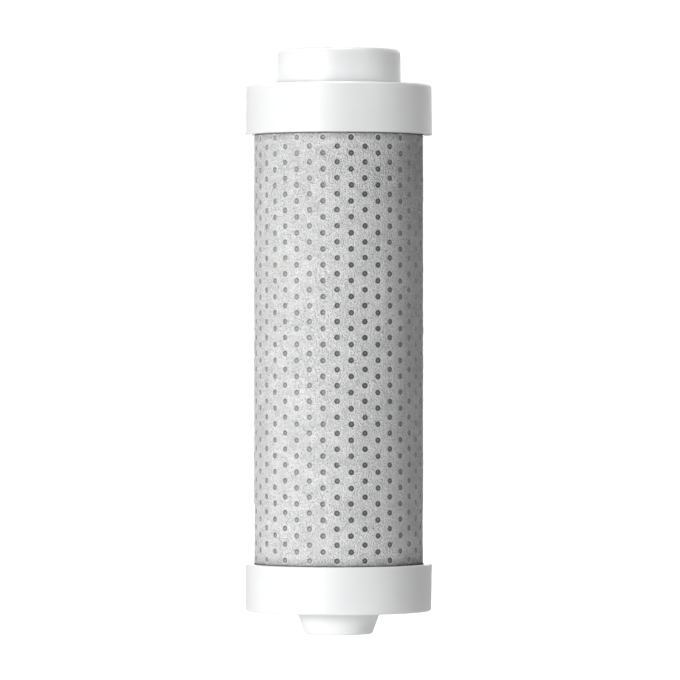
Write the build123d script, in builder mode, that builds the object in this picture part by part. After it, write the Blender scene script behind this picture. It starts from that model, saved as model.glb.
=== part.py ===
"""A radial-flow carbon filter cartridge for the inline water filter of a caravan or motorhome.

Water comes in around the tapered nose, flows inwards through the dotted wrap and the carbon block into the
slotted core tube, and leaves through the socket in the boss at the other end. The cartridge stands upright
on its nose: the origin is the centre of the nose's end face and +Z runs along the axis to the boss.
All sizes are in millimetres.
"""

import os

from build123d import *

# ---------------------------------------------------------------- driving dimensions
wrap_radius = 24.9  # outside of the dotted wrap
wrap_thickness = 0.45
visible_length = 126.2  # wrap between the rims of the two end caps

nose_cap_height = 13.9  # an end cap from its flat face to its rim
outlet_cap_height = 14.6
cap_face_radius = 27.3  # the skirt has draft, so it is widest at the rim
cap_rim_radius = 27.5
cap_floor = 2.5  # thickness of a cap's flat floor
trough_floor_radius = 25.2  # inside of the skirt, at the floor and at the rim
trough_rim_radius = 25.3

nose_height = 6.7
nose_tip_radius = 9.9
nose_root_radius = 12.4
nose_wall_height = 2.0  # thickness of the closed end of the nose
boss_height = 10.4
boss_root_radius = 18.3
boss_top_radius = 18.1
boss_wall = 2.35

socket_radius = 8.0  # bore that takes the housing's outlet spigot
gland_radius = 10.2  # bottom of the seal groove, measured from the axis
gland_width = 3.4
spigot_stop = 1.0  # from the cap's flat face up to the core tube's end
seat_thickness = 2.1  # wall between the core tube's end and the seal
tube_radius = 12.0  # outside of the socket's own tube
rib_count = 8
rib_thickness = 1.5

core_outer_radius = 8.5
core_inner_radius = 7.0
core_plug_depth = 4.0  # how deep the core tube goes into the nose cap
block_bore_radius = 9.0
adhesive_thickness = 1.5
adhesive_lip = 4.0  # hot melt pressed up beside the wrap
gap = 0.05  # between pieces that slide together at assembly
film = 0.02  # between bonded or pressed faces

nose_tip_round = 0.9
cap_edge_round = 0.8  # where a cap's flat face meets its skirt
root_round = 0.3  # where the nose or the boss meets a cap's flat face
rim_round = 0.25
trough_mouth_round = 0.15
core_socket_lead_in = 0.4
boss_top_round = 1.3
well_mouth_round = 0.5
tube_recess = 1.0  # how far the socket's tube ends below the top of the boss

# ---------------------------------------------------------------- levels along the axis
nose_face_z = nose_height
nose_floor_z = nose_face_z + cap_floor
nose_rim_z = nose_face_z + nose_cap_height
outlet_rim_z = nose_rim_z + visible_length
outlet_face_z = outlet_rim_z + outlet_cap_height
outlet_floor_z = outlet_face_z - cap_floor
boss_top_z = outlet_face_z + boss_height
block_bottom_z = nose_floor_z + adhesive_thickness
block_top_z = outlet_floor_z - adhesive_thickness
block_length = block_top_z - block_bottom_z
core_seat_z = nose_floor_z - core_plug_depth
core_stop_z = outlet_face_z + spigot_stop
seal_seat_z = core_stop_z + seat_thickness
retainer_z = seal_seat_z + gland_width
tube_top_z = boss_top_z - tube_recess
wrap_inner_radius = wrap_radius - wrap_thickness
core_socket_radius = core_outer_radius + 2 * gap


# ---------------------------------------------------------------- shared helpers
match_tolerance = 0.01


def ring_edge(part, radius, height):
    """The circular edges of a turned part at one radius and height."""
    circles = part.edges().filter_by(GeomType.CIRCLE)
    return circles.filter_by(
        lambda edge: abs(edge.radius - radius) < match_tolerance
        and abs(edge.center().Z - height) < match_tolerance
    )


def seam_flap(inner_radius, outer_radius, half_width, bottom_z, length):
    """The second layer of the wrap where its edges overlap, along the back (+Y) of the cartridge."""
    with BuildPart() as flap:
        with BuildSketch(Plane.XY.offset(bottom_z)):
            Circle(outer_radius)
            Circle(inner_radius, mode=Mode.SUBTRACT)
            with Locations((0, inner_radius)):
                Rectangle(2 * half_width, inner_radius, mode=Mode.INTERSECT)
        extrude(amount=length)
    return flap.part


# ---------------------------------------------------------------- nose cap
glue_rib_radii = (21.5, 13.0)
glue_rib_width = 1.0
glue_rib_height = 1.0


def glue_ribs(floor_z, up):
    """Two rings on a cap's floor that hold the block off it; up is 1 at the nose and -1 at the outlet."""
    with BuildPart() as ribs:
        for radius in glue_rib_radii:
            with BuildSketch(Plane.XY.offset(floor_z)):
                Circle(radius + glue_rib_width / 2)
                Circle(radius - glue_rib_width / 2, mode=Mode.SUBTRACT)
            extrude(amount=up * glue_rib_height)
    return ribs.part


seat_ledge = 0.2  # how far the core tube's seat reaches inside the tube's bore
nose_hollow_radius = core_inner_radius - seat_ledge
nose_hollow_end_radius = 6.0
gate_radius = 1.6
gate_depth = 0.4

with BuildPart() as nose_cap:
    with BuildSketch(Plane.XZ):
        with BuildLine():
            Polyline(
                (0, 0),
                (nose_tip_radius, 0),
                (nose_root_radius, nose_face_z),
                (cap_face_radius, nose_face_z),
                (cap_rim_radius, nose_rim_z),
                (trough_rim_radius, nose_rim_z),
                (trough_floor_radius, nose_floor_z),
                (core_socket_radius, nose_floor_z),
                (core_socket_radius, core_seat_z),
                (nose_hollow_radius, core_seat_z),
                (nose_hollow_end_radius, nose_wall_height),
                (0, nose_wall_height),
                close=True,
            )
        make_face()
    revolve(axis=Axis.Z)
    fillet(ring_edge(nose_cap, nose_tip_radius, 0), radius=nose_tip_round)
    fillet(ring_edge(nose_cap, nose_root_radius, nose_face_z), radius=root_round)
    fillet(ring_edge(nose_cap, cap_face_radius, nose_face_z), radius=cap_edge_round)
    fillet(ring_edge(nose_cap, cap_rim_radius, nose_rim_z), radius=rim_round)
    fillet(ring_edge(nose_cap, trough_rim_radius, nose_rim_z), radius=trough_mouth_round)
    chamfer(ring_edge(nose_cap, core_socket_radius, nose_floor_z), length=core_socket_lead_in)
    add(glue_ribs(nose_floor_z, 1))
    with BuildSketch(Plane.XY):
        Circle(gate_radius)
    extrude(amount=gate_depth, mode=Mode.SUBTRACT)

# ---------------------------------------------------------------- outlet cap
well_top_radius = boss_top_radius - boss_wall
well_draft = 0.2  # how much the well narrows towards its floor
well_floor_radius = well_top_radius - well_draft
rib_recess = 2.2  # how far the ribs end below the top of the boss
rib_bury = 0.6  # how far a rib reaches into the wall at each end
rib_top_z = boss_top_z - rib_recess
rib_middle_radius = (tube_radius + well_floor_radius) / 2
rib_length = well_floor_radius - tube_radius + 2 * rib_bury

with BuildPart() as outlet_cap:
    with BuildSketch(Plane.XZ):
        with BuildLine():
            Polyline(
                (socket_radius, core_stop_z),
                (socket_radius, seal_seat_z),
                (gland_radius, seal_seat_z),
                (gland_radius, tube_top_z),
                (tube_radius, tube_top_z),
                (tube_radius, outlet_face_z),
                (well_floor_radius, outlet_face_z),
                (well_top_radius, boss_top_z),
                (boss_top_radius, boss_top_z),
                (boss_root_radius, outlet_face_z),
                (cap_face_radius, outlet_face_z),
                (cap_rim_radius, outlet_rim_z),
                (trough_rim_radius, outlet_rim_z),
                (trough_floor_radius, outlet_floor_z),
                (core_socket_radius, outlet_floor_z),
                (core_socket_radius, core_stop_z),
                close=True,
            )
        make_face()
    revolve(axis=Axis.Z)
    fillet(ring_edge(outlet_cap, boss_top_radius, boss_top_z), radius=boss_top_round)
    fillet(ring_edge(outlet_cap, well_top_radius, boss_top_z), radius=well_mouth_round)
    fillet(ring_edge(outlet_cap, boss_root_radius, outlet_face_z), radius=root_round)
    fillet(ring_edge(outlet_cap, cap_face_radius, outlet_face_z), radius=cap_edge_round)
    fillet(ring_edge(outlet_cap, cap_rim_radius, outlet_rim_z), radius=rim_round)
    fillet(ring_edge(outlet_cap, trough_rim_radius, outlet_rim_z), radius=trough_mouth_round)
    chamfer(ring_edge(outlet_cap, core_socket_radius, outlet_floor_z), length=core_socket_lead_in)
    add(glue_ribs(outlet_floor_z, -1))
    with BuildSketch(Plane.XY.offset(outlet_face_z)):
        with PolarLocations(rib_middle_radius, rib_count):
            Rectangle(rib_length, rib_thickness)
    extrude(amount=rib_top_z - outlet_face_z)

# ---------------------------------------------------------------- seal and its retainer
seal_inner_radius = 7.81  # drawn as it sits with a spigot in it
seal_outer_radius = gland_radius - film
seal_half_height = 1.45
retainer_flange_radius = 11.6
retainer_flange_height = 0.8
retainer_lead_in = 1.2
retainer_edge_round = 0.35
retainer_top_z = tube_top_z + retainer_flange_height

with BuildPart() as outlet_oring:
    with BuildSketch(Plane.XZ):
        with Locations(((seal_inner_radius + seal_outer_radius) / 2, seal_seat_z + gland_width / 2)):
            Ellipse((seal_outer_radius - seal_inner_radius) / 2, seal_half_height)
    revolve(axis=Axis.Z)

with BuildPart() as seal_retainer:
    with BuildSketch(Plane.XZ):
        with BuildLine():
            Polyline(
                (socket_radius, retainer_z),
                (gland_radius - film, retainer_z),
                (gland_radius - film, tube_top_z),
                (retainer_flange_radius, tube_top_z),
                (retainer_flange_radius, retainer_top_z),
                (socket_radius, retainer_top_z),
                close=True,
            )
        make_face()
    revolve(axis=Axis.Z)
    chamfer(ring_edge(seal_retainer, socket_radius, retainer_top_z), length=retainer_lead_in)
    fillet(ring_edge(seal_retainer, retainer_flange_radius, retainer_top_z), radius=retainer_edge_round)

# ---------------------------------------------------------------- filter media
block_radius = wrap_inner_radius - film
block_edge_chamfer = 0.6

with BuildPart() as carbon_block:
    with BuildSketch(Plane.XY.offset(block_bottom_z)):
        Circle(block_radius)
        Circle(block_bore_radius, mode=Mode.SUBTRACT)
    extrude(amount=block_length)
    for end_z in (block_bottom_z, block_top_z):
        chamfer(ring_edge(carbon_block, block_radius, end_z), length=block_edge_chamfer)

seam_half_width = 4.0
seam_rise = 0.25  # the overlap is pressed thin where it is welded
seam_radius = wrap_radius + seam_rise
seam_root_radius = wrap_radius - wrap_thickness / 2

with BuildPart() as outer_wrap:
    with BuildSketch(Plane.XY.offset(block_bottom_z)):
        Circle(wrap_radius)
        Circle(wrap_inner_radius, mode=Mode.SUBTRACT)
    extrude(amount=block_length)
    add(seam_flap(seam_root_radius, seam_radius, seam_half_width, block_bottom_z, block_length))

with BuildPart() as fines_fleece:
    with BuildSketch(Plane.XY.offset(block_bottom_z)):
        Circle(block_bore_radius - film)
        Circle(core_outer_radius + gap, mode=Mode.SUBTRACT)
    extrude(amount=block_length)

# ---------------------------------------------------------------- core tube
slot_width = 3.0
slot_height = 7.0
slot_rows = 13
slot_pitch = 10.6
slot_directions = 3  # each cut goes right through, so there are twice as many slots in a row
slot_turn = 180 / slot_directions
cut_length = 3 * core_outer_radius
core_end_chamfer = 0.5
core_middle_z = (block_bottom_z + block_top_z) / 2
core_bottom_z = core_seat_z + gap
core_top_z = core_stop_z - gap

with BuildPart() as core_tube:
    with BuildSketch(Plane.XY.offset(core_bottom_z)):
        Circle(core_outer_radius)
        Circle(core_inner_radius, mode=Mode.SUBTRACT)
    extrude(amount=core_top_z - core_bottom_z)
    for end_z in (core_bottom_z, core_top_z):
        chamfer(ring_edge(core_tube, core_outer_radius, end_z), length=core_end_chamfer)
    for row in range(slot_rows):
        row_z = core_middle_z + (row - (slot_rows - 1) / 2) * slot_pitch
        stagger = slot_turn / 2 if row % 2 else 0
        for direction in range(slot_directions):
            turn = direction * slot_turn + stagger
            with Locations(Location((0, 0, row_z), (0, 0, turn))):
                Box(cut_length, slot_width, slot_height, mode=Mode.SUBTRACT)


# ---------------------------------------------------------------- hot-melt beds
bed_bore_radius = core_socket_radius + core_socket_lead_in
notch_inner_radius = wrap_radius - 1.0  # the lip is cut right through where the wrap's seam stands against the skirt


def adhesive_bed(floor_z, rim_z):
    """The glue between the block's end and the cap whose trough runs from floor_z to rim_z."""
    up = 1 if rim_z > floor_z else -1
    trough_slope = (trough_rim_radius - trough_floor_radius) / abs(rim_z - floor_z)
    bed_z = floor_z + up * adhesive_thickness
    lip_z = bed_z + up * adhesive_lip
    lip_outer_radius = trough_floor_radius + trough_slope * (adhesive_thickness + adhesive_lip) - film
    with BuildPart() as bed:
        with BuildSketch(Plane.XZ):
            with BuildLine():
                Polyline(
                    (bed_bore_radius, floor_z),
                    (trough_floor_radius - film, floor_z),
                    (lip_outer_radius, lip_z),
                    (wrap_radius + film, lip_z),
                    (wrap_radius + film, bed_z),
                    (bed_bore_radius, bed_z),
                    close=True,
                )
            make_face()
        revolve(axis=Axis.Z)
        add(glue_ribs(floor_z, up), mode=Mode.SUBTRACT)
        notch = seam_flap(
            notch_inner_radius, trough_rim_radius, seam_half_width + film, min(bed_z, lip_z), adhesive_lip
        )
        add(notch, mode=Mode.SUBTRACT)
    return bed.part


nose_adhesive = adhesive_bed(nose_floor_z, nose_rim_z)
outlet_adhesive = adhesive_bed(outlet_floor_z, outlet_rim_z)

# ---------------------------------------------------------------- export
pieces = {
    "nose_cap": nose_cap.part,
    "outlet_cap": outlet_cap.part,
    "outlet_oring": outlet_oring.part,
    "seal_retainer": seal_retainer.part,
    "carbon_block": carbon_block.part,
    "outer_wrap": outer_wrap.part,
    "fines_fleece": fines_fleece.part,
    "core_tube": core_tube.part,
    "nose_adhesive": nose_adhesive,
    "outlet_adhesive": outlet_adhesive,
}

os.makedirs("parts", exist_ok=True)
for name, piece in pieces.items():
    piece.label = name
    export_step(piece, f"parts/{name}.step")
    print(name, "volume", round(piece.volume), "mm3")
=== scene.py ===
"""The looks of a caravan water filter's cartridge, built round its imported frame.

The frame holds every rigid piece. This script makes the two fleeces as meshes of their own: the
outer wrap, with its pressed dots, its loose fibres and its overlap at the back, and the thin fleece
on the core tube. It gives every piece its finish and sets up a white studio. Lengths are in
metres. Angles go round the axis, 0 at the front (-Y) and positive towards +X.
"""

import math
import random

import bpy
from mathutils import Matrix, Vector, noise


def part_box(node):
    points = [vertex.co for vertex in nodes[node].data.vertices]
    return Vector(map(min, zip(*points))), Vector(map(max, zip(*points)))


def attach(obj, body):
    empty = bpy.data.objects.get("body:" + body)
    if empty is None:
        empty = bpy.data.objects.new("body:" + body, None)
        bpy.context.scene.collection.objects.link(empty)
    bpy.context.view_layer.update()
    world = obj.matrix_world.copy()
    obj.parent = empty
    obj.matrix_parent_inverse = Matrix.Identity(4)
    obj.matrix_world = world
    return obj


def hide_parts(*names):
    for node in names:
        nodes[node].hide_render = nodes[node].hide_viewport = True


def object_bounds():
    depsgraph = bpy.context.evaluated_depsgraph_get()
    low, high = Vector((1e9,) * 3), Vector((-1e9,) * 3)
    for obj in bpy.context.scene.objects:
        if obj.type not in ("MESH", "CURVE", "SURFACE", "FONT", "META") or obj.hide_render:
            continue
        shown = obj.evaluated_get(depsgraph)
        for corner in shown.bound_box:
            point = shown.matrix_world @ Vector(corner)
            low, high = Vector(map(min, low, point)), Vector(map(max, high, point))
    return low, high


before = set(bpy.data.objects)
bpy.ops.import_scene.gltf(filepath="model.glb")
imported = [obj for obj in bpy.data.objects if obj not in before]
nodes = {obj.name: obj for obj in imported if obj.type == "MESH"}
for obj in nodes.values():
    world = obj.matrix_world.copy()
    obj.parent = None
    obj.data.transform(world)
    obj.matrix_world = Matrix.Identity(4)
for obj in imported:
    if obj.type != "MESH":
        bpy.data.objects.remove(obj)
cad_low, cad_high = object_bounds()
MM = 0.001
middle = (cad_low + cad_high) / 2

# ---------------------------------------------------------------- camera
camera_distance = 1.5576
camera_side = 0.4 * MM
camera_rise = 0.54 * MM  # above the middle of the cartridge
camera_lens = 280.0


def make_camera():
    """A level camera with a long lens, in front of the cartridge and half way up it."""
    data = bpy.data.cameras.new("camera")
    data.lens = camera_lens
    data.sensor_width = 36.0
    data.clip_start = 0.05
    data.clip_end = 20.0
    camera = bpy.data.objects.new("camera", data)
    camera.location = (camera_side, -camera_distance, middle.z + camera_rise)
    camera.rotation_euler = (math.radians(90), 0, 0)
    bpy.context.scene.collection.objects.link(camera)
    bpy.context.scene.camera = camera


make_camera()


# ---------------------------------------------------------------- finishes
usual_noise = (0.35, 0.65)  # most of a noise texture's values lie between these


class Finish:
    """One material, with short calls for the nodes that the finishes share. Sizes are in metres."""

    def __init__(self, name, roughness=0.5, **constants):
        self.material = bpy.data.materials.new(name)
        self.material.use_nodes = True
        self.tree = self.material.node_tree
        self.shader = self.tree.nodes["Principled BSDF"]
        self.place = self.add("ShaderNodeTexCoord").outputs["Object"]
        self.shader.inputs["Roughness"].default_value = roughness
        for socket, value in constants.items():
            self.shader.inputs[socket.replace("_", " ")].default_value = value

    def add(self, kind, **settings):
        node = self.tree.nodes.new(kind)
        for name, value in settings.items():
            setattr(node, name, value)
        return node

    def link(self, source, socket):
        self.tree.links.new(source, socket)

    def spread(self, value, low, high, to_low=0.0, to_high=1.0):
        """The value from low to high, stretched to run from to_low to to_high, and held there."""
        node = self.add("ShaderNodeMapRange", clamp=True)
        self.link(value, node.inputs["Value"])
        ends = {"From Min": low, "From Max": high, "To Min": to_low, "To Max": to_high}
        for name, number in ends.items():
            node.inputs[name].default_value = number
        return node.outputs["Result"]

    def noise(self, size, detail=3.0, distortion=0.0, roughness=0.55):
        node = self.add("ShaderNodeTexNoise")
        self.link(self.place, node.inputs["Vector"])
        node.inputs["Scale"].default_value = 1 / size
        node.inputs["Detail"].default_value = detail
        node.inputs["Roughness"].default_value = roughness
        node.inputs["Distortion"].default_value = distortion
        return node.outputs["Fac"]

    def strands(self, size, warp, thickness):
        """A web of fine lines, as where fibres cross: 1 on a line and 0 between them.

        Warp is how far the lines are bent.
        """
        bend_size = 1.6 * size
        shift = self.add("ShaderNodeTexNoise")
        self.link(self.place, shift.inputs["Vector"])
        shift.inputs["Scale"].default_value = 1 / bend_size
        centred = self.add("ShaderNodeVectorMath", operation="SUBTRACT")
        self.link(shift.outputs["Color"], centred.inputs[0])
        centred.inputs[1].default_value = (0.5, 0.5, 0.5)
        moved = self.add("ShaderNodeVectorMath", operation="MULTIPLY_ADD")
        self.link(centred.outputs["Vector"], moved.inputs[0])
        moved.inputs[1].default_value = (warp, warp, warp)
        self.link(self.place, moved.inputs[2])
        cells = self.add("ShaderNodeTexVoronoi", feature="DISTANCE_TO_EDGE")
        self.link(moved.outputs["Vector"], cells.inputs["Vector"])
        cells.inputs["Scale"].default_value = 1 / size
        return self.spread(cells.outputs["Distance"], 0.0, thickness, 1.0, 0.0)

    def mix(self, factor, first, second, blend="MIX"):
        """A colour from first, where factor is 0, to second. Each is a colour or a socket."""
        node = self.add("ShaderNodeMix", data_type="RGBA", blend_type=blend)
        for name, value in (("Factor_Float", factor), ("A_Color", first), ("B_Color", second)):
            socket = next(s for s in node.inputs if s.identifier == name)
            if isinstance(value, bpy.types.NodeSocket):
                self.link(value, socket)
            elif isinstance(value, (int, float)):
                socket.default_value = value
            else:
                socket.default_value = (*value, 1.0)
        return next(s for s in node.outputs if s.identifier == "Result_Color")

    def colour(self, value):
        self.link(value, self.shader.inputs["Base Color"])

    def roughness(self, value, low, high):
        self.link(self.spread(value, *usual_noise, low, high), self.shader.inputs["Roughness"])

    def bump(self, height, depth, under=None):
        """Relief of that depth from a height of 0 to 1, on top of the relief under it."""
        node = self.add("ShaderNodeBump")
        node.inputs["Strength"].default_value = 1.0
        node.inputs["Distance"].default_value = depth
        self.link(height, node.inputs["Height"])
        if under is not None:
            self.link(under, node.inputs["Normal"])
        return node.outputs["Normal"]

    def relief(self, *layers):
        """Bump layers, each a height and its depth, the coarsest first."""
        normal = None
        for height, depth in layers:
            normal = self.bump(height, depth, normal)
        self.link(normal, self.shader.inputs["Normal"])


def moulded_white(name, tone=1.0):
    """Satin white polypropylene: an eroded mould's fine grain, and slow waves where it cooled."""
    f = Finish(name, IOR=1.49, Subsurface_Weight=0.12, Subsurface_Scale=0.003)
    f.shader.inputs["Subsurface Radius"].default_value = (1.0, 1.0, 1.0)
    clouds = f.spread(f.noise(14 * MM, detail=2), *usual_noise)
    dull = [tone * part for part in (0.753, 0.758, 0.764)]
    bright = [tone * part for part in (0.778, 0.782, 0.786)]
    f.colour(f.mix(clouds, dull, bright))
    f.roughness(f.noise(2.2 * MM), 0.36, 0.46)
    f.relief((f.noise(11 * MM, detail=1), 0.03 * MM), (f.noise(0.35 * MM, detail=2), 0.006 * MM))
    return f.material


def fleece(name, light, shade, rims=None):
    """Bonded fleece: cloudy where the web is thin, speckled with fibre ends and crossed by fibres.

    Rims are the two heights where it goes into the end caps. Towards them the colour is darkened in
    a
    thin ragged line and a wider band: a painted shadow of the gap and of the cap's overhang.
    """
    f = Finish(name, roughness=0.6, IOR=1.5, Specular_IOR_Level=0.05)
    clouds = f.spread(f.noise(5 * MM, detail=4), 0.36, 0.64)
    speckle = f.noise(0.45 * MM, detail=2, roughness=0.6)
    web = f.strands(1.3 * MM, 1.1 * MM, 0.07)
    base = f.mix(clouds, shade, light)
    flecks = f.mix(f.spread(speckle, 0.36, 0.64), [0.84, 0.84, 0.84], [1.14, 1.14, 1.14])
    cloth = f.mix(1.0, base, flecks, blend="MULTIPLY")
    cloth = f.mix(f.spread(web, 0.0, 1.0, 0.0, 0.35), cloth, [0.78, 0.78, 0.77])
    thin = f.noise(0.75 * MM, detail=2)
    cloth = f.mix(f.spread(thin, 0.64, 0.74, 0.0, 0.75), cloth, [0.25, 0.25, 0.25])
    if rims:
        # painted shadow: the cloth darkened towards each cap's rim
        cloth = f.mix(painted_rim_shadow(f, *rims), cloth, [0.10, 0.10, 0.10])
    f.colour(cloth)
    f.relief((clouds, 0.05 * MM), (speckle, 1.1 * MM), (web, 0.05 * MM))
    return f.material


def painted_rim_shadow(f, low, high):
    """How much painted shadow darkens the cloth at each cap: a thin ragged line, and a band beside
    it.
    """
    # the line is the painted shadow in the gap between the cloth and the cap
    gap_shadow_width, gap_shadow_strength = 0.35 * MM, 0.4
    # the band is the painted shadow under the cap's overhang
    overhang_shadow_width, overhang_shadow_strength = 2.4 * MM, 0.47
    wander = 0.35 * MM
    height = f.add("ShaderNodeSeparateXYZ")
    f.link(f.place, height.inputs["Vector"])
    centred = f.add("ShaderNodeMath", operation="SUBTRACT")
    f.link(height.outputs["Z"], centred.inputs[0])
    centred.inputs[1].default_value = (low + high) / 2
    away = f.add("ShaderNodeMath", operation="ABSOLUTE")
    f.link(centred.outputs["Value"], away.inputs[0])
    ragged = f.add("ShaderNodeMath", operation="MULTIPLY_ADD")
    f.link(f.noise(1.6 * MM), ragged.inputs[0])
    ragged.inputs[1].default_value = wander
    f.link(away.outputs["Value"], ragged.inputs[2])
    half = (high - low) / 2
    line = f.spread(ragged.outputs["Value"], half - gap_shadow_width, half, 0.0, gap_shadow_strength)
    overhang_shadow = f.spread(ragged.outputs["Value"], half - overhang_shadow_width, half, 0.0, overhang_shadow_strength)
    both = f.add("ShaderNodeMath", operation="ADD", use_clamp=True)
    f.link(line, both.inputs[0])
    f.link(overhang_shadow, both.inputs[1])
    return both.outputs["Value"]


def fused_fleece(name, light, shade, roughness):
    """Fleece melted to a thin film by a hot pin, with the carbon dark behind it."""
    f = Finish(name, IOR=1.6, Specular_IOR_Level=0.8, Sheen_Weight=0.6, Sheen_Roughness=0.5)
    flow = f.noise(0.4 * MM, detail=3, distortion=0.6)
    f.colour(f.mix(f.spread(flow, *usual_noise), shade, light))
    f.roughness(flow, roughness, roughness + 0.14)
    f.relief((flow, 0.02 * MM))
    return f.material


def fibre(name):
    """Loose polyester fibre, slightly glossy. Some stretches are darker than others."""
    f = Finish(name, roughness=0.4, IOR=1.55)
    f.colour(f.mix(f.spread(f.noise(4 * MM), 0.4, 0.6), [0.30, 0.30, 0.30], [0.90, 0.90, 0.89]))
    f.relief((f.noise(0.2 * MM), 0.002 * MM))
    return f.material


def sintered_carbon(name):
    """Black carbon grains fused together, with paler dust and open pores."""
    f = Finish(name, roughness=0.8)
    grains = f.noise(0.8 * MM, detail=4, roughness=0.7)
    pores = f.strands(0.7 * MM, 0.4 * MM, 0.12)
    f.colour(f.mix(f.spread(grains, 0.4, 0.68), [0.012, 0.012, 0.013], [0.055, 0.055, 0.058]))
    f.relief((grains, 0.2 * MM), (pores, 0.08 * MM))
    return f.material


def greased_rubber(name):
    """Black seal rubber, smooth from its mould and smeared with grease."""
    f = Finish(name, IOR=1.5)
    smears = f.noise(2.5 * MM, detail=3, distortion=1.2)
    f.colour(f.mix(f.spread(smears, 0.4, 0.65), [0.017, 0.017, 0.018], [0.034, 0.034, 0.036]))
    f.roughness(smears, 0.22, 0.5)
    f.relief((f.noise(0.3 * MM), 0.006 * MM))
    return f.material


def natural_plastic(name):
    """Unpigmented polypropylene, milky, with a little light passing into it."""
    f = Finish(name, IOR=1.49, Subsurface_Weight=0.25, Subsurface_Scale=0.003)
    milk = f.noise(6 * MM, detail=3)
    f.colour(f.mix(f.spread(milk, *usual_noise), [0.66, 0.665, 0.62], [0.76, 0.76, 0.72]))
    f.roughness(milk, 0.34, 0.48)
    f.relief((f.noise(0.6 * MM, detail=2), 0.01 * MM))
    return f.material


def hot_melt(name):
    """Straw-coloured glue that cooled lumpy, with a skin."""
    f = Finish(name, IOR=1.48, Subsurface_Weight=0.3, Subsurface_Scale=0.002)
    lumps = f.noise(3.5 * MM, detail=2, distortion=0.8)
    f.colour(f.mix(f.spread(lumps, *usual_noise), [0.58, 0.46, 0.24], [0.74, 0.64, 0.42]))
    f.roughness(lumps, 0.24, 0.42)
    f.relief((lumps, 0.3 * MM), (f.noise(0.8 * MM), 0.04 * MM))
    return f.material


finishes = {
    "nose_cap": moulded_white("white_plastic_nose"),
    "outlet_cap": moulded_white("white_plastic_outlet"),
    "seal_retainer": moulded_white("white_plastic_retainer", tone=0.96),
    "outlet_oring": greased_rubber("seal_rubber"),
    "carbon_block": sintered_carbon("carbon"),
    "core_tube": natural_plastic("natural_plastic"),
    "nose_adhesive": hot_melt("hot_melt_nose"),
    "outlet_adhesive": hot_melt("hot_melt_outlet"),
}
for node_name, finish in finishes.items():
    for material_slot in nodes[node_name].material_slots:
        material_slot.material = finish


# ---------------------------------------------------------------- shared mesh code
def round_axis(angle, radius, z):
    return Vector((radius * math.sin(angle), -radius * math.cos(angle), z))


def smooth_step(value, start, end):
    t = min(max((value - start) / (end - start), 0.0), 1.0)
    return t * t * (3 - 2 * t)


class Shell:
    """Vertices and faces of a piece as it is made."""

    def __init__(self):
        self.points = []
        self.faces = []
        self.face_materials = []

    def point(self, place):
        self.points.append(tuple(place))
        return len(self.points) - 1

    def face(self, corners, material=0):
        self.faces.append(tuple(corners))
        self.face_materials.append(material)

    def band(self, first, second, material=0):
        """Quads between two loops of one length, facing outwards where second lies inside first."""
        count = len(first)
        for i in range(count):
            j = (i + 1) % count
            self.face((first[i], first[j], second[j], second[i]), material)

    def fan(self, corners, centre, material=0):
        """Triangles from each edge of a loop to one point inside it."""
        for i, corner in enumerate(corners):
            self.face((corner, corners[(i + 1) % len(corners)], centre), material)

    def piece(self, name, *materials):
        mesh = bpy.data.meshes.new(name)
        mesh.from_pydata(self.points, [], self.faces)
        mesh.polygons.foreach_set("material_index", self.face_materials)
        mesh.polygons.foreach_set("use_smooth", [True] * len(self.faces))
        for material in materials:
            mesh.materials.append(material)
        mesh.validate()
        mesh.update()
        piece = bpy.data.objects.new(name, mesh)
        bpy.context.scene.collection.objects.link(piece)
        return piece


# ---------------------------------------------------------------- the wrap's cloth
wrap_low, wrap_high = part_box("outer_wrap")
block_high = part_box("carbon_block")[1]
wrap_radius = wrap_high.x
wrap_inner_radius = block_high.x + 0.02 * MM
lower_rim_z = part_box("nose_cap")[1].z
upper_rim_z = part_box("outlet_cap")[0].z

dot_columns = 38  # round the cartridge
column_step = 2 * math.pi / dot_columns
first_column = math.radians(-1.0)
row_pitch = 4.63 * MM
row_stagger = 0.564  # how far up a pitch each second column is moved
first_row_z = upper_rim_z - 4.1 * MM
dot_radius = 0.84 * MM
dot_lip_radius = 1.08 * MM
dot_floor_radius = 0.35 * MM
dot_edge_depth = 0.01 * MM
dot_depth = 0.14 * MM
dot_dome = 0.04 * MM
dot_lip = 0.015 * MM
dot_wander = 0.05 * MM

lap_rise = wrap_high.y - wrap_radius  # the second layer at the back, pressed thin
lap_column = 18  # the column whose surface climbs onto the layer below
side_points = 5  # segments on each side of a dot's cell
staggered_start = 3  # the level, of those in a pitch, at which a staggered column's cells meet
first_index = -(dot_columns // 2 - 1)

cloth_finish, rim_finish, floor_finish, lip_finish = range(4)  # the wrap's materials in order

slow_wave, slow_sink = 11 * MM, 0.07 * MM  # the cloth's unevenness: its size, and how deep
quick_wave, quick_sink = 2.6 * MM, 0.05 * MM
quick_shift = Vector((7.0, 3.0, 5.0))


def line_angle(index):
    """The border between a column of dots and the one before it."""
    return first_column + (index - 0.5) * column_step


def wrap_surface(angle, z):
    """The wrap's outer radius before the dots are pressed in.

    It is a little uneven, and raised over the overlap.
    """
    place = round_axis(angle, wrap_radius, z)
    slow = 0.5 + 0.5 * noise.noise(place / slow_wave)
    quick = 0.5 + 0.5 * noise.noise(place / quick_wave + quick_shift)
    raised = lap_rise * smooth_step(angle, line_angle(lap_column), line_angle(lap_column + 1))
    return wrap_radius + raised - slow_sink * slow - quick_sink * quick


def on_wrap(angle, z, depth=0.0):
    return round_axis(angle, wrap_surface(angle, z) - depth, z)


def row_levels():
    """Heights of the points on every border line: both families' cell borders, and some between."""
    shares = (0, row_stagger / 3, 2 * row_stagger / 3, row_stagger, (1 + row_stagger) / 2)
    border = first_row_z - row_pitch / 2
    while border > wrap_low.z - row_pitch:
        border -= row_pitch
    levels = []
    while border < wrap_high.z:
        levels += [border + share * row_pitch for share in shares]
        border += row_pitch
    return levels


def cell_borders(index, levels):
    """Indices of the levels at which this column's cells meet."""
    start = staggered_start if index % 2 else 0
    return list(range(start, len(levels), side_points))


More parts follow.
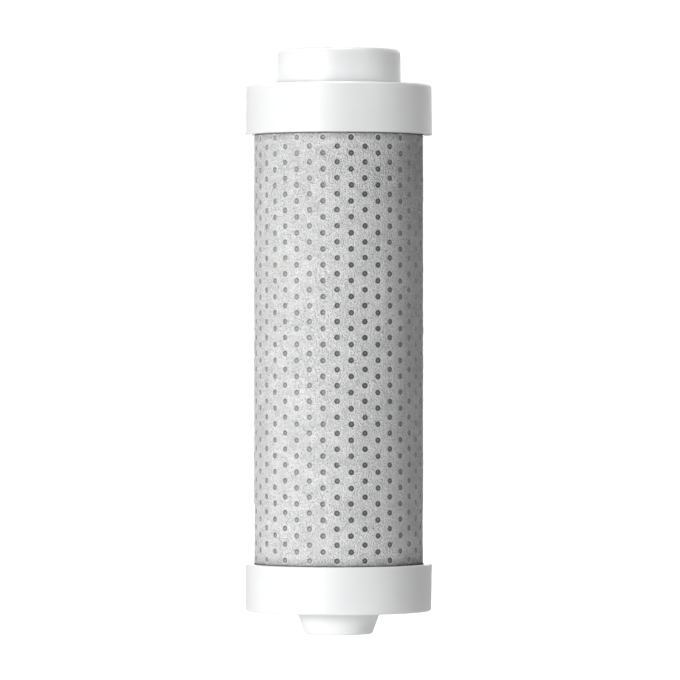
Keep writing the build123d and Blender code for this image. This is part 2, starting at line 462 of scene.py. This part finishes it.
def make_wrap():
    """The whole wrap. In each line, the points at the cut ends have keys -1 and len(all_levels)."""
    shell = Shell()
    shuffle = random.Random(38)
    all_levels = row_levels()
    clear = 0.3 * row_pitch  # cells nearer the cloth's cut ends than this are left plain
    inside = [i for i, z in enumerate(all_levels) if wrap_low.z + clear < z < wrap_high.z - clear]
    indices = range(first_index, first_index + dot_columns)
    lines = {}
    for index in range(first_index, first_index + dot_columns + 1):
        angle = line_angle(index)
        heights = {i: all_levels[i] for i in inside}
        heights = {-1: wrap_low.z, **heights, len(all_levels): wrap_high.z}
        lines[index] = {i: shell.point(on_wrap(angle, z)) for i, z in heights.items()}
    ends = [], []
    for index in indices:
        left, right = lines[index], lines[index + 1]
        borders = [i for i in cell_borders(index, all_levels) if i in left]

        def across(level_index, z):
            """The points across a column at one height, the two border lines included."""
            row = [left[level_index]]
            for step in range(1, side_points):
                angle = line_angle(index) + column_step * step / side_points
                row.append(shell.point(on_wrap(angle, z)))
            return row + [right[level_index]]

        rows = {i: across(i, all_levels[i]) for i in borders}
        bottom = across(-1, wrap_low.z)
        top = across(len(all_levels), wrap_high.z)
        ends[0].append(bottom)
        ends[1].append(top)
        for below, above in zip(borders, borders[1:]):
            edge = rows[below][:-1] + [right[i] for i in range(below, above)]
            edge += rows[above][:0:-1] + [left[i] for i in range(above, below, -1)]
            press_dot(shell, shuffle, edge, index, (all_levels[below] + all_levels[above]) / 2)
        first, last = borders[0], borders[-1]
        plain_end(
            shell,
            index,
            (wrap_low.z + all_levels[first]) / 2,
            bottom[:-1]
            + [right[i] for i in sorted(right) if i < first]
            + rows[first][:0:-1]
            + [left[i] for i in sorted(left, reverse=True) if -1 < i <= first],
        )
        plain_end(
            shell,
            index,
            (all_levels[last] + wrap_high.z) / 2,
            rows[last][:-1]
            + [right[i] for i in sorted(right) if last <= i < len(all_levels)]
            + top[:0:-1]
            + [left[i] for i in sorted(left, reverse=True) if last < i],
        )
    close_wrap(shell, lines, ends)
    return shell


def plain_end(shell, index, z, edge):
    """The cloth of one column between its last dot and the cut end, hidden in the end cap."""
    angle = first_column + index * column_step
    shell.fan(edge, shell.point(on_wrap(angle, z)))


def press_dot(shell, shuffle, edge, index, z):
    """One cell of the wrap: cloth from its edge to the dot's lip, the pressed rim and the floor."""
    first_turn = math.radians(-135)  # towards the edge's first corner
    angle = first_column + index * column_step + shuffle.uniform(-1, 1) * dot_wander / wrap_radius
    z += shuffle.uniform(-1, 1) * dot_wander
    size = shuffle.uniform(0.97, 1.03)
    pressed = shuffle.uniform(0.85, 1.1)
    hidden = min(abs(z - lower_rim_z), abs(z - upper_rim_z)) < dot_lip_radius
    if hidden:
        pressed = 0.0
    rings = (
        (dot_lip_radius, -dot_lip),
        (dot_radius, dot_edge_depth),
        (dot_floor_radius, dot_depth),
    )
    loops = [edge]
    for radius, depth in rings:
        loop = []
        for step in range(len(edge)):
            turn = first_turn + 2 * math.pi * step / len(edge)
            a = angle + size * radius * math.cos(turn) / wrap_radius
            h = z + size * radius * math.sin(turn)
            loop.append(shell.point(on_wrap(a, h, depth * pressed)))
        loops.append(loop)
    shell.band(loops[0], loops[1])
    shell.band(loops[1], loops[2], material=cloth_finish if hidden else lip_finish)
    shell.band(loops[2], loops[3], material=cloth_finish if hidden else rim_finish)
    middle_depth = (dot_depth - dot_dome) * pressed
    centre = shell.point(on_wrap(angle, z, middle_depth))
    shell.fan(loops[3], centre, material=cloth_finish if hidden else floor_finish)


def close_wrap(shell, lines, ends):
    """The overlap's cut edge, the cloth's cut ends and its inner side against the block."""
    first, last = lines[first_index], lines[first_index + dot_columns]
    order = sorted(first)
    for low, high in zip(order, order[1:]):
        shell.face((last[low], first[low], first[high], last[high]))
    count = dot_columns * side_points
    inner_rows = 13
    turns = [line_angle(first_index) + 2 * math.pi * i / count for i in range(count)]
    inner = []
    for row in range(inner_rows):
        z = wrap_low.z + (wrap_high.z - wrap_low.z) * row / (inner_rows - 1)
        inner.append([shell.point(round_axis(turn, wrap_inner_radius, z)) for turn in turns])
    for low, high in zip(inner, inner[1:]):
        shell.band(high, low)
    for rows, hidden, outwards in ((ends[0], inner[0], False), (ends[1], inner[-1], True)):
        outer = [p for row in rows for p in row[:-1]] + [rows[-1][-1]]
        cut = [(outer[i], outer[i + 1], hidden[i + 1], hidden[i]) for i in range(count - 1)]
        beside_lap = outer[count - 1]
        cut.append((beside_lap, outer[count], outer[0]))
        cut.append((beside_lap, outer[0], hidden[0]))
        cut.append((beside_lap, hidden[0], hidden[count - 1]))
        for corners in cut:
            shell.face(corners if outwards else corners[::-1])


# ---------------------------------------------------------------- loose fibres on the wrap
fibre_count = 520
fibre_radius = 0.03 * MM
fibre_sides = 3
fibre_step = 0.45 * MM
fibre_margin = 1.5 * MM  # from the caps
fibre_span = 0.96  # of half a turn to each side, which keeps them off the overlap's cut edge
fibre_sink = 0.08 * MM  # into the dots that they cross


def dot_near(angle, z):
    """How far a place on the wrap is from the nearest dot's centre."""
    index = round((angle - first_column) / column_step)
    across = (angle - first_column - index * column_step) * wrap_radius
    start = first_row_z + (row_pitch * row_stagger if index % 2 else 0)
    along = (z - start + row_pitch / 2) % row_pitch - row_pitch / 2
    return math.hypot(across, along)


def make_fibres():
    shell = Shell()
    shuffle = random.Random(7)
    for _ in range(fibre_count):
        angle = shuffle.uniform(-math.pi, math.pi) * fibre_span
        z = shuffle.uniform(lower_rim_z + fibre_margin, upper_rim_z - fibre_margin)
        heading = shuffle.uniform(0, 2 * math.pi)
        curl = shuffle.uniform(-0.25, 0.25)
        steps = shuffle.randint(8, 22)
        lift = shuffle.uniform(0.0, 0.10) * MM
        thick = fibre_radius * shuffle.uniform(0.7, 1.5)
        path = []
        for step in range(steps):
            rise = lift * math.sin(math.pi * step / (steps - 1))
            sunk = 0.0 if dot_near(angle, z) > dot_lip_radius else fibre_sink
            path.append(round_axis(angle, wrap_surface(angle, z) + 0.6 * thick + rise - sunk, z))
            curl = 0.9 * curl + shuffle.uniform(-0.12, 0.12)
            heading += curl
            angle += fibre_step * math.cos(heading) / wrap_radius
            z += fibre_step * math.sin(heading)
        lowest, highest = min(p.z for p in path), max(p.z for p in path)
        if lowest >= lower_rim_z + fibre_margin / 2 and highest <= upper_rim_z - fibre_margin / 2:
            add_fibre(shell, path, thick)
    return shell


def add_fibre(shell, path, thick):
    """A fine tube along a path that lies on the wrap, closed at both ends."""
    loops = []
    for i, place in enumerate(path):
        ahead = path[min(i + 1, len(path) - 1)] - path[max(i - 1, 0)]
        outwards = Vector((place.x, place.y, 0)).normalized()
        sideways = ahead.cross(outwards).normalized()
        upwards = sideways.cross(ahead).normalized()
        loop = []
        for side in range(fibre_sides):
            turn = 2 * math.pi * side / fibre_sides
            aside = math.cos(turn) * upwards + math.sin(turn) * sideways
            loop.append(shell.point(place + thick * aside))
        loops.append(loop)
    for low, high in zip(loops, loops[1:]):
        shell.band(low, high)
    shell.face(loops[0][::-1])
    shell.face(loops[-1])


# ---------------------------------------------------------------- the thin fleece on the core tube
core_fleece_low, core_fleece_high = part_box("fines_fleece")
core_fleece_columns = 96
core_fleece_rows = 146
core_fleece_clearance = 0.05 * MM  # from the core tube
core_fleece_wave, core_fleece_sink = 2.5 * MM, 0.08 * MM


def make_core_fleece():
    shell = Shell()
    outer_radius = core_fleece_high.x
    inner_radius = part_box("core_tube")[1].x + core_fleece_clearance
    height = core_fleece_high.z - core_fleece_low.z
    loops = {"outer": [], "inner": []}
    for row in range(core_fleece_rows + 1):
        z = core_fleece_low.z + height * row / core_fleece_rows
        for side, radius, sign in (("outer", outer_radius, -1), ("inner", inner_radius, 1)):
            loop = []
            for column in range(core_fleece_columns):
                angle = 2 * math.pi * column / core_fleece_columns
                place = round_axis(angle, radius, z)
                uneven = 0.5 + 0.5 * noise.noise(place / core_fleece_wave)
                surface = radius + sign * core_fleece_sink * uneven
                loop.append(shell.point(round_axis(angle, surface, z)))
            loops[side].append(loop)
    for low, high in zip(loops["outer"], loops["outer"][1:]):
        shell.band(low, high)
    for low, high in zip(loops["inner"], loops["inner"][1:]):
        shell.band(high, low)
    shell.band(loops["inner"][0], loops["outer"][0])
    shell.band(loops["outer"][-1], loops["inner"][-1])
    return shell


rims = (lower_rim_z, upper_rim_z)
wrap = make_wrap().piece(
    "dotted_wrap",
    fleece("dotted_fleece", [0.91, 0.915, 0.91], [0.785, 0.795, 0.79], rims),
    # the dot's wall is darker than its floor: the carbon seen through the film, deepened by painted
    # shade in the pit
    fused_fleece("dotted_fleece_rim", [0.06, 0.06, 0.062], [0.02, 0.02, 0.021], roughness=0.45),
    fused_fleece("dotted_fleece_floor", [0.20, 0.20, 0.205], [0.10, 0.10, 0.105], roughness=0.45),
    fleece("dotted_fleece_lip", [0.92, 0.925, 0.92], [0.84, 0.845, 0.84]),
)
fibres = make_fibres().piece("wrap_fibres", fibre("dotted_fleece_fibre"))
core_fleece = make_core_fleece().piece(
    "core_fleece", fleece("plain_fleece", [0.80, 0.80, 0.79], [0.70, 0.70, 0.69])
)

for piece, slot in (
    (wrap, "dotted_fleece"),
    (fibres, "dotted_fleece"),
    (core_fleece, "plain_fleece"),
):
    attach(piece, "root")
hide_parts("outer_wrap")
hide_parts("fines_fleece")

# ---------------------------------------------------------------- studio
floor_radius = 1.6
floor_corners = 96
seen_glow = 1.0  # the light table as the camera sees it
near_glow = 0.5  # as it lights the cartridge, from close round the nose
cast_glow = 0.2  # and from further out
near_radius, far_radius = 0.03, 0.10  # where the one starts to turn into the other, and ends
seen_room = 1.05  # the room as the camera sees it
cast_room = 0.0  # and as it lights the cartridge


def make_floor():
    """A light table, white to the camera. Its glow is weaker as the cartridge gets it."""
    mesh = bpy.data.meshes.new("floor")
    turns = [2 * math.pi * i / floor_corners for i in range(floor_corners)]
    ring = [(floor_radius * math.cos(turn), floor_radius * math.sin(turn), 0) for turn in turns]
    mesh.from_pydata(ring, [], [tuple(range(floor_corners))])
    floor = bpy.data.objects.new("floor", mesh)
    floor.location.z = cad_low.z
    bpy.context.scene.collection.objects.link(floor)
    f = Finish("floor", roughness=0.9)
    f.colour(f.mix(f.noise(60 * MM), [0.32, 0.32, 0.32], [0.35, 0.35, 0.35]))
    f.shader.inputs["Emission Color"].default_value = (1, 1, 1, 1)
    away = f.add("ShaderNodeVectorMath", operation="LENGTH")
    f.link(f.place, away.inputs[0])
    cast = f.spread(away.outputs["Value"], near_radius, far_radius, near_glow, cast_glow)
    seen = f.add("ShaderNodeLightPath").outputs["Is Camera Ray"]
    strength = f.add("ShaderNodeMix")
    f.link(seen, strength.inputs["Factor"])
    f.link(cast, strength.inputs["A"])
    strength.inputs["B"].default_value = seen_glow
    f.link(strength.outputs["Result"], f.shader.inputs["Emission Strength"])
    mesh.materials.append(f.material)


def make_surroundings():
    """A room that the camera sees as white. With cast_room at 0 it doesn't light the cartridge."""
    world = bpy.data.worlds.new("studio")
    bpy.context.scene.world = world
    world.use_nodes = True
    tree = world.node_tree
    background = tree.nodes["Background"]
    background.inputs["Color"].default_value = (1, 1, 1, 1)
    seen = tree.nodes.new("ShaderNodeMapRange")
    seen.inputs["To Min"].default_value = cast_room
    seen.inputs["To Max"].default_value = seen_room
    camera_ray = tree.nodes.new("ShaderNodeLightPath").outputs["Is Camera Ray"]
    tree.links.new(camera_ray, seen.inputs["Value"])
    tree.links.new(seen.outputs["Result"], background.inputs["Strength"])


def softbox(name, azimuth, elevation, distance, width, height, power, gloss_on=None):
    """A rectangular light aimed at the cartridge's middle.

    Azimuth is 0 at the camera and positive to its right. With gloss_on, the light only makes
    gloss, and only on those pieces, as if flags kept it off the rest.
    """
    data = bpy.data.lights.new(name, "AREA")
    data.shape = "RECTANGLE"
    data.size = width
    data.size_y = height
    data.energy = power
    lamp = bpy.data.objects.new(name, data)
    a, e = math.radians(azimuth), math.radians(elevation)
    towards = Vector((math.sin(a) * math.cos(e), -math.cos(a) * math.cos(e), math.sin(e)))
    lamp.location = middle + distance * towards
    lamp.rotation_mode = "QUATERNION"
    lamp.rotation_quaternion = towards.to_track_quat("Z", "Y")
    lamp.visible_camera = False
    if gloss_on:
        lamp.visible_diffuse = False
        lit = bpy.data.collections.new(name)
        for piece in gloss_on:
            lit.objects.link(piece)
        lamp.light_linking.receiver_collection = lit
    bpy.context.scene.collection.objects.link(lamp)


def gloss_card(name, azimuth, width, power, pieces):
    """One of the tall cards that stand round the cartridge and only make gloss on those pieces."""
    softbox(name, azimuth, 3, distance=0.8, width=width, height=0.9, power=power, gloss_on=pieces)


make_floor()
make_surroundings()
moulded = [nodes[name] for name in ("nose_cap", "outlet_cap", "seal_retainer")]
softbox("key", azimuth=-40, elevation=2, distance=1.2, width=0.45, height=0.25, power=9.8)
softbox("near_key", azimuth=-24, elevation=-2, distance=0.45, width=0.2, height=0.2, power=0.6)
softbox("top", azimuth=0, elevation=88, distance=1.2, width=0.5, height=0.5, power=13.0)
softbox("back", azimuth=186, elevation=8, distance=1.2, width=0.3, height=0.5, power=7.0)
gloss_card("left_gloss", azimuth=-110, width=1.8, power=5.8, pieces=moulded)
gloss_card("front_gloss", azimuth=54, width=0.7, power=6.0, pieces=moulded)
gloss_card("right_gloss", azimuth=95, width=0.6, power=5.4, pieces=moulded)
gloss_card("back_gloss", azimuth=140, width=0.7, power=3.8, pieces=moulded)
gloss_card("left_film", azimuth=-85, width=1.3, power=17.0, pieces=[wrap])
gloss_card("right_film", azimuth=112, width=1.3, power=5.0, pieces=[wrap])
bpy.context.scene.view_settings.view_transform = "Standard"
